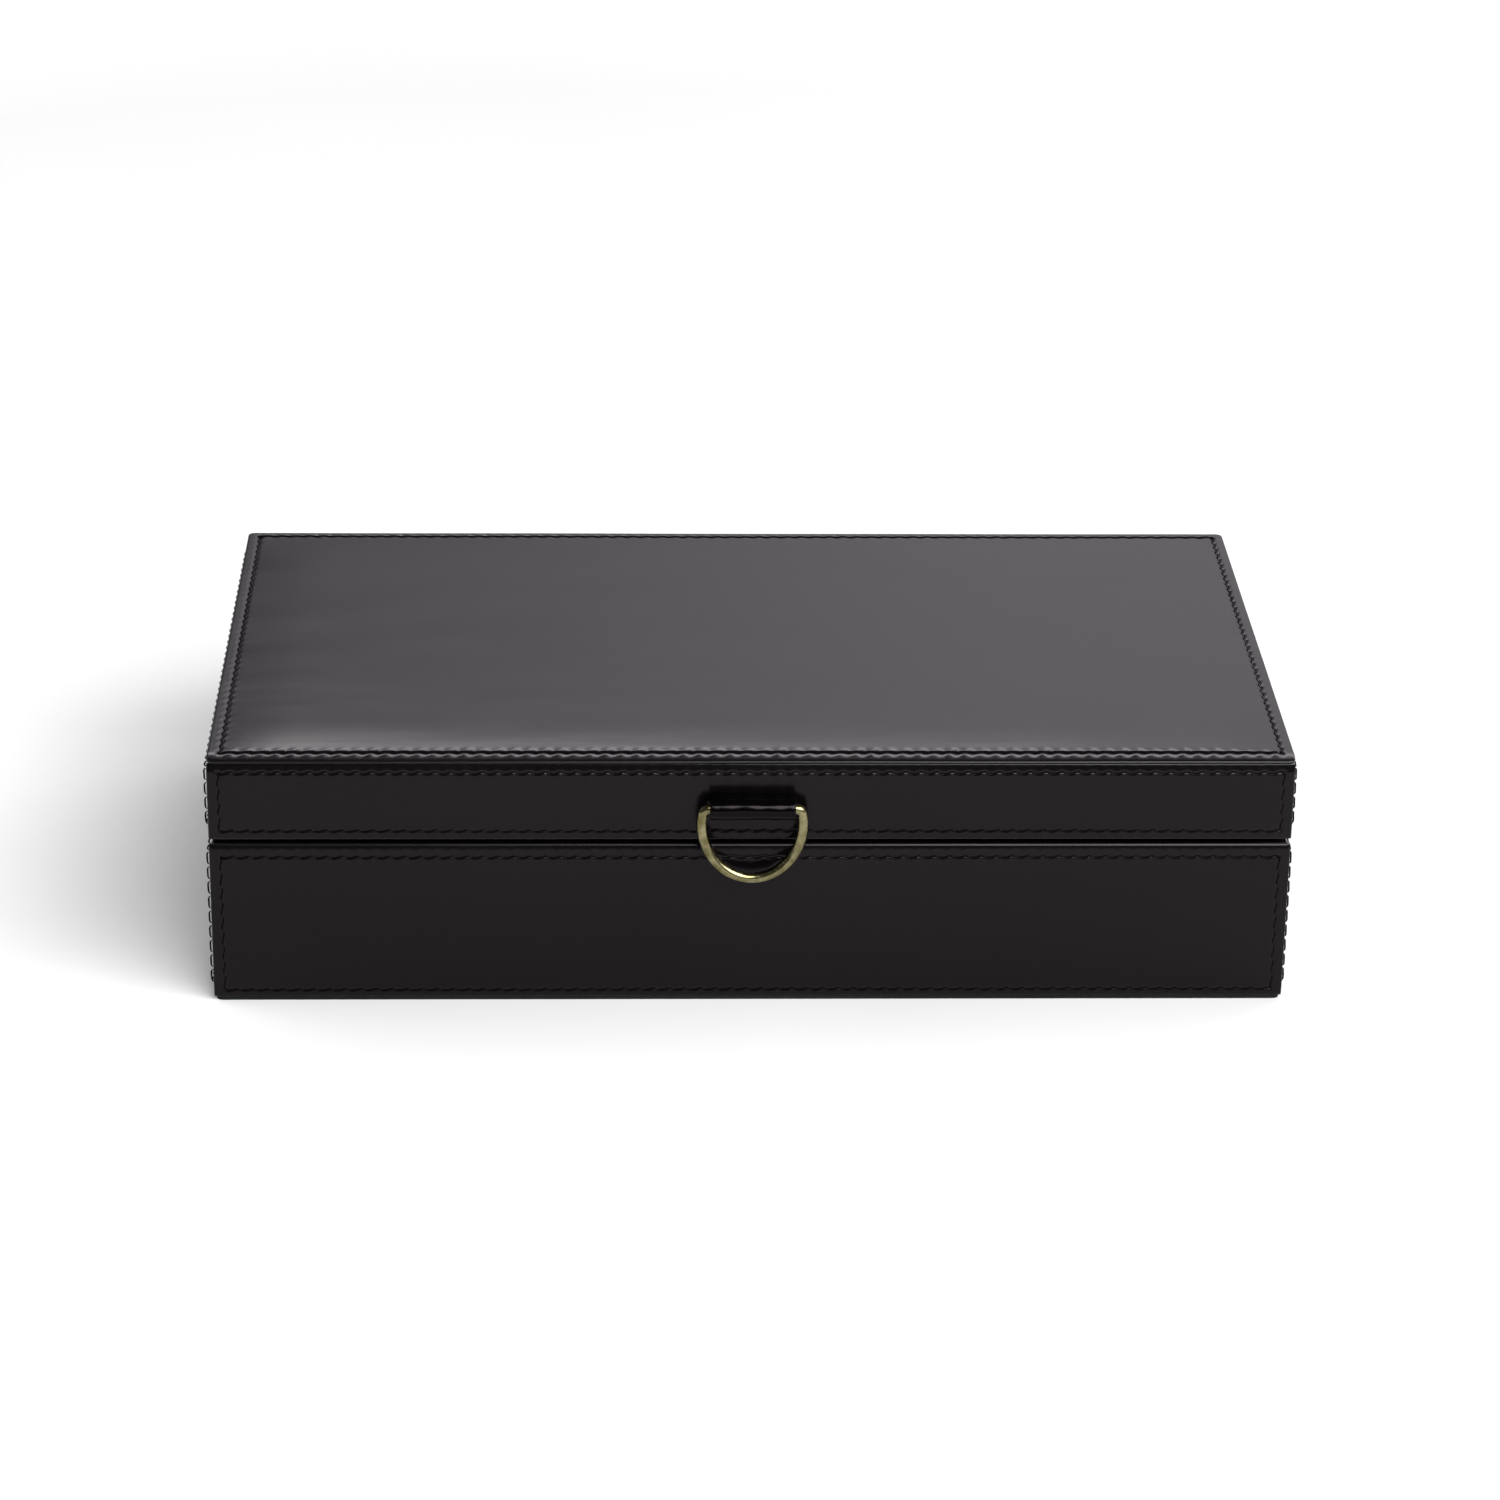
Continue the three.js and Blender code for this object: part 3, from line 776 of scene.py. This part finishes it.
# ------------------------------------------------------------------ insert: racks and tray
def height_block(name, xs, ys, top, bottom, body, nodes, material):
    """A closed block whose top is a height field over a grid."""
    grid_x, grid_y = np.meshgrid(xs, ys, indexing="ij")
    heights = top(grid_x, grid_y)
    columns, rows = grid_x.shape
    points = [(grid_x[i, j], grid_y[i, j], heights[i, j]) for i in range(columns) for j in range(rows)]
    faces = [
        (i * rows + j, (i + 1) * rows + j, (i + 1) * rows + j + 1, i * rows + j + 1)
        for i in range(columns - 1) for j in range(rows - 1)
    ]
    border = [i * rows for i in range(columns)]
    border += [(columns - 1) * rows + j for j in range(1, rows)]
    border += [i * rows + rows - 1 for i in range(columns - 2, -1, -1)]
    border += [j for j in range(rows - 2, 0, -1)]
    start = len(points)
    points += [(points[i][0], points[i][1], bottom) for i in border]
    count = len(border)
    for k in range(count):
        after = (k + 1) % count
        faces.append((border[k], border[after], start + after, start + k))
    faces.append(tuple(range(start, start + count)))
    piece = add_mesh(name, points, faces, [material], body)
    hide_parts(*nodes)


ROUND = 1.1  # rounding of the suede over the insert's edges
LIP_STEPS = (-1.1, -1.0, -0.82, -0.55, -0.25, 0, 0.08, 0.3, 0.6, 1.0, 1.4)  # grid lines at a well's edge
RIM_STEPS = (0.05, 0.2, 0.45, 0.75, 1.1)  # and at the block's own edges
CLOSEST_LINES = 0.045
WALL_RUN = 0.9  # how far a well's wall leans inwards on its way down


def lines(low, high, edges, step):
    """Grid lines between two ends: evenly spaced, and close together at each edge and at the rim."""
    values = {round(low, 4), round(high, 4)}
    values.update(np.round(np.arange(low, high, step), 4))
    for edge, sign in edges:
        values.update(round(edge + sign * s, 4) for s in LIP_STEPS)
    for s in RIM_STEPS:
        values.update((round(low + s, 4), round(high - s, 4)))
    ordered = sorted(v for v in values if low <= v <= high)
    kept = [ordered[0]]
    for value in ordered[1:]:
        if value - kept[-1] > CLOSEST_LINES:
            kept.append(value)
    kept[-1] = round(high, 4)
    return np.array(kept)


def sink(inside, depth):
    """The fall from the top face by `depth`, at a distance inside a well's edge, with a rounded lip."""
    lip = np.clip(inside + ROUND, 0, ROUND)
    over = ROUND - np.sqrt(np.maximum(ROUND**2 - lip**2, 0))
    wall = smoothstep(inside / WALL_RUN) * np.maximum(depth - ROUND, 0)
    return np.where(inside <= -ROUND, 0, np.minimum(over, depth) + np.where(inside > 0, wall, 0))


def rim_fall(x, y, low, high):
    """The rounding at the block's own outer edges."""
    inset = np.minimum.reduce([x - low[0], high[0] - x, y - low[1], high[1] - y])
    rest = np.clip(ROUND - inset, 0, ROUND)
    return ROUND - np.sqrt(np.maximum(ROUND**2 - rest**2, 0))


TROUGH_RADIUS = 20.4
TROUGH_AXIS = 0.6  # above the insert's top
TROUGH_PITCH = 44.8
TROUGH_HALF = 77.5
TROUGH_END_FALL = 30  # deeper than the trough, so that its end wall reaches the bottom
LIP_FALL = 0.55  # how far the suede has sunk at a trough's mouth
RACK_GRID = (1.15, 6)  # spacing of the grid lines across and along the troughs


def add_rack(side):
    name = f"chip_rack_{side}"
    low, high = box_mm(name)
    middle = (low[0] + high[0]) / 2
    centres = (middle - TROUGH_PITCH / 2, middle + TROUGH_PITCH / 2)
    mouth = math.sqrt(TROUGH_RADIUS**2 - TROUGH_AXIS**2)
    edges_x = [(c + s * mouth, -s) for c in centres for s in (-1, 1)]
    edges_y = [(s * TROUGH_HALF, -s) for s in (-1, 1)]
    xs = lines(low[0], high[0], edges_x, RACK_GRID[0])
    ys = lines(low[1], high[1], edges_y, RACK_GRID[1])

    def top(x, y):
        fall = rim_fall(x, y, low, high)
        inside_y = TROUGH_HALF - np.abs(y)
        lip_y = np.clip(inside_y + ROUND, 0, ROUND)
        end_lip = ROUND - np.sqrt(ROUND**2 - lip_y**2)
        end_wall = np.where(inside_y < 0, end_lip, ROUND + smoothstep(inside_y / WALL_RUN) * TROUGH_END_FALL)
        for centre in centres:
            across = np.abs(x - centre)
            inside_x = mouth - across
            lip_x = np.clip(inside_x + ROUND, 0, ROUND)
            depth = np.sqrt(np.maximum(TROUGH_RADIUS**2 - across**2, 0)) - TROUGH_AXIS
            side_wall = np.where(inside_x < 0, LIP_FALL * (lip_x / ROUND) ** 2, np.maximum(depth, LIP_FALL))
            fall = np.maximum(fall, np.minimum(side_wall, end_wall))
        return high[2] - fall

    height_block(f"{name}_insert", xs, ys, top, low[2], "base", [name], suede)


for side in ("left", "right"):
    add_rack(side)

TRAY_WELL_HALF = 46
TRAY_RIB = 3
DECK_WELL = 66.5
DICE_WELL = 17
DECK_DEPTH = 20
DICE_DEPTH = 17
NOTCH_RADIUS = 9
WELL_CORNER = 3
TRAY_GRID = 2.4


def add_tray():
    low, high = box_mm("card_tray")
    used = 2 * DECK_WELL + DICE_WELL + 2 * TRAY_RIB
    wells = []
    y = -used / 2
    for length, depth in ((DICE_WELL, DICE_DEPTH), (DECK_WELL, DECK_DEPTH), (DECK_WELL, DECK_DEPTH)):
        wells.append((y, y + length, depth))
        y += length + TRAY_RIB
    edges_x = [(s * TRAY_WELL_HALF, -s) for s in (-1, 1)]
    edges_x += [(s * NOTCH_RADIUS, -s) for s in (-1, 1)]
    edges_y = [(y0, 1) for y0, _, _ in wells] + [(y1, -1) for _, y1, _ in wells]
    xs = lines(low[0], high[0], edges_x, TRAY_GRID)
    ys = lines(low[1], high[1], edges_y, TRAY_GRID)

    def top(x, y):
        fall = rim_fall(x, y, low, high)
        for y0, y1, depth in wells:
            qx = np.abs(x) - (TRAY_WELL_HALF - WELL_CORNER)
            qy = np.abs(y - (y0 + y1) / 2) - ((y1 - y0) / 2 - WELL_CORNER)
            beyond = np.hypot(np.maximum(qx, 0), np.maximum(qy, 0))
            outside = beyond + np.minimum(np.maximum(qx, qy), 0) - WELL_CORNER
            fall = np.maximum(fall, sink(-outside, depth))
        across = np.abs(x)
        notch = np.sqrt(np.maximum(NOTCH_RADIUS**2 - across**2, 0))
        along = used / 2 - 1 - np.abs(y)
        end = smoothstep(along / WALL_RUN + 0.5)
        fall = np.maximum(fall, notch * end)
        return high[2] - fall

    height_block("card_tray_insert", xs, ys, top, low[2], "base", ["card_tray"], suede)


add_tray()


# ------------------------------------------------------------------ padded ceiling of the lid
def add_ceiling_pad():
    low, high = box_mm("lid_ceiling_pad")
    centre = ((low[0] + high[0]) / 2, (low[1] + high[1]) / 2, low[2])
    pad = Panel(
        centre, ((1, 0, 0), (0, -1, 0), (0, 0, -1)), *(high - low)[:2] / 2, high[2] - low[2], (9,) * 4,
        corner=1.5, pad=2.4, pad_reach=30, groove=1.2, stand=0.3,
    )
    piece = pad.build("lid_ceiling_cushion", "lid", ["lid_ceiling_pad"], [suede, suede])
    join_threads("ceiling_stitching", [pad], "lid")


add_ceiling_pad()


# ------------------------------------------------------------------ CAD nodes that stay
WELD_DISTANCE = 0.00001  # metres
BEVEL_SEGMENTS = 2
BEVEL_ANGLE = math.radians(40)


def finish_node(name, material, width):
    """A CAD node keeps its shape: its edges are eased by a bevel and it gets its material."""
    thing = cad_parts[name]
    thing.data.materials.clear()
    thing.data.materials.append(material)
    weld = thing.modifiers.new("weld", "WELD")
    weld.merge_threshold = WELD_DISTANCE
    bevel = thing.modifiers.new("bevel", "BEVEL")
    bevel.width = width * MM
    bevel.segments = BEVEL_SEGMENTS
    bevel.limit_method = "ANGLE"
    bevel.angle_limit = BEVEL_ANGLE
    thing.data.polygons.foreach_set("use_smooth", [True] * len(thing.data.polygons))
    normals = thing.modifiers.new("normals", "WEIGHTED_NORMAL")
    normals.keep_sharp = True


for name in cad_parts:
    if name.endswith("_board"):
        finish_node(name, board, 0.3)
    elif name.endswith("_binding"):
        finish_node(name, leather, 0.35)
    elif name.endswith("_lining"):
        finish_node(name, suede, 0.45)
    elif name == "base_bottom_cover":
        finish_node(name, felt, 0.3)
    elif name.endswith("_leaf"):
        finish_node(name, hinge_brass, 0.12)
    elif name.endswith("_pin") or "screw" in name:
        finish_node(name, hinge_brass, 0.1)
    elif name.endswith("_magnet"):
        finish_node(name, nickel, 0.2)


# ------------------------------------------------------------------ stage and light
FLOOR_HALF = 12
GLOW_START = 0.9  # a white studio floor: it glows from this far out,
GLOW_FULL = 2.4  # fully from here on
GLOW_STRENGTH = 0.9


def add_stage():
    size = FLOOR_HALF
    corners = [(-size, -size, 0), (size, -size, 0), (size, size, 0), (-size, size, 0)]
    mesh = bpy.data.meshes.new("floor")
    mesh.from_pydata(corners, [], [(0, 1, 2, 3)])
    floor = bpy.data.objects.new("floor", mesh)
    bpy.context.scene.collection.objects.link(floor)
    material, tree, shader = new_material("floor_paint")
    where = coordinates(tree)
    white = ramp(tree, noise(tree, where, 300, 2), (0.3, 0.59), (0.7, 0.61))
    tree.links.new(white, shader.inputs["Base Color"])
    shader.inputs["Roughness"].default_value = 0.9
    shader.inputs["Specular IOR Level"].default_value = 0.1
    source = tree.nodes.new("ShaderNodeTexCoord")
    reach = node(tree, "ShaderNodeVectorMath", operation="LENGTH")
    tree.links.new(source.outputs["Object"], reach.inputs[0])
    glow = node(tree, "ShaderNodeMapRange")
    glow.inputs["From Min"].default_value = GLOW_START
    glow.inputs["From Max"].default_value = GLOW_FULL
    glow.inputs["To Max"].default_value = GLOW_STRENGTH
    tree.links.new(reach.outputs["Value"], glow.inputs["Value"])
    shader.inputs["Emission Color"].default_value = (1, 1, 1, 1)
    tree.links.new(glow.outputs["Result"], shader.inputs["Emission Strength"])
    mesh.materials.append(material)


def add_area(name, azimuth, elevation, distance, size, radiance, glossy=True):
    """A soft box that looks at the object; azimuth 0 is behind it and 90 is to its right."""
    data = bpy.data.lights.new(name, "AREA")
    data.shape = "RECTANGLE"
    data.size, data.size_y = size
    data.energy = radiance * math.pi * size[0] * size[1]
    lamp = bpy.data.objects.new(name, data)
    turn, rise = math.radians(azimuth), math.radians(elevation)
    lamp.location = distance * Vector((
        math.sin(turn) * math.cos(rise), math.cos(turn) * math.cos(rise), math.sin(rise),
    ))
    lamp.rotation_euler = lamp.location.to_track_quat("Z", "Y").to_euler()
    lamp.visible_camera = False
    lamp.visible_glossy = glossy
    bpy.context.scene.collection.objects.link(lamp)


# Brightness by the sine of the height above the horizon, behind the object and in front of it
BACKDROP = (
    (0, 0.6), (0.2, 0.75), (0.41, 1.5), (0.5, 1.6), (0.58, 1.6), (0.68, 0.7), (0.78, 0.2), (1, 0.1),
)
DIM_SIDE = ((0, 0.1), (0.5, 0.1), (1, 0.12))
BACKDROP_TINT = (1, 0.955, 1.02)
# What the backdrop is multiplied by from -X (0) to +X (1), with a dark flag left of the middle
SIDEWAYS = ((0, 0.7), (0.2, 0.6), (0.36, 0.12), (0.4, 0.12), (0.54, 1), (1, 1))
TURN_TO_BACK = (-0.3, 0.35)  # where along Y the dim side starts and ends turning into the backdrop


def add_world():
    """A studio that is light behind the object and dim on the side that faces its front.

    The background that a camera sees directly is plain white.
    """
    world = bpy.data.worlds.new("studio")
    world.use_nodes = True
    tree = world.node_tree
    background = tree.nodes["Background"]
    direction = tree.nodes.new("ShaderNodeTexCoord")
    parts = tree.nodes.new("ShaderNodeSeparateXYZ")
    tree.links.new(direction.outputs["Generated"], parts.inputs["Vector"])
    stops = [(position, [value * c for c in BACKDROP_TINT]) for position, value in BACKDROP]
    behind = ramp(tree, parts.outputs["Z"], *stops)
    front = ramp(tree, parts.outputs["Z"], *DIM_SIDE)
    side = node(tree, "ShaderNodeMapRange", interpolation_type="SMOOTHSTEP")
    side.inputs["From Min"].default_value = TURN_TO_BACK[0]
    side.inputs["From Max"].default_value = TURN_TO_BACK[1]
    tree.links.new(parts.outputs["Y"], side.inputs["Value"])
    across = node(tree, "ShaderNodeMapRange")
    across.inputs["From Min"].default_value = -1
    tree.links.new(parts.outputs["X"], across.inputs["Value"])
    fade = ramp(tree, across.outputs["Result"], *SIDEWAYS)
    faded = node(tree, "ShaderNodeMix", data_type="RGBA", blend_type="MULTIPLY")
    faded.inputs["Factor"].default_value = 1
    tree.links.new(behind, faded.inputs[6])
    tree.links.new(fade, faded.inputs[7])
    studio = node(tree, "ShaderNodeMix", data_type="RGBA")
    tree.links.new(side.outputs["Result"], studio.inputs["Factor"])
    tree.links.new(front, studio.inputs[6])
    tree.links.new(faded.outputs[2], studio.inputs[7])
    path = tree.nodes.new("ShaderNodeLightPath")
    seen = node(tree, "ShaderNodeMix", data_type="RGBA")
    tree.links.new(path.outputs["Is Camera Ray"], seen.inputs["Factor"])
    tree.links.new(studio.outputs[2], seen.inputs[6])
    seen.inputs[7].default_value = (1, 1, 1, 1)
    tree.links.new(seen.outputs[2], background.inputs["Color"])
    bpy.context.scene.world = world


add_stage()
add_world()
add_area("key", 144.5, 42, 2.2, (2.2, 1.3), 11.5)
add_area("back", 22, 41, 2.2, (3.1, 0.32), 7)
add_area("fill", -75, 50, 2.5, (1.5, 1.5), 4.2, glossy=False)

bpy.context.scene.view_settings.view_transform = "Standard"
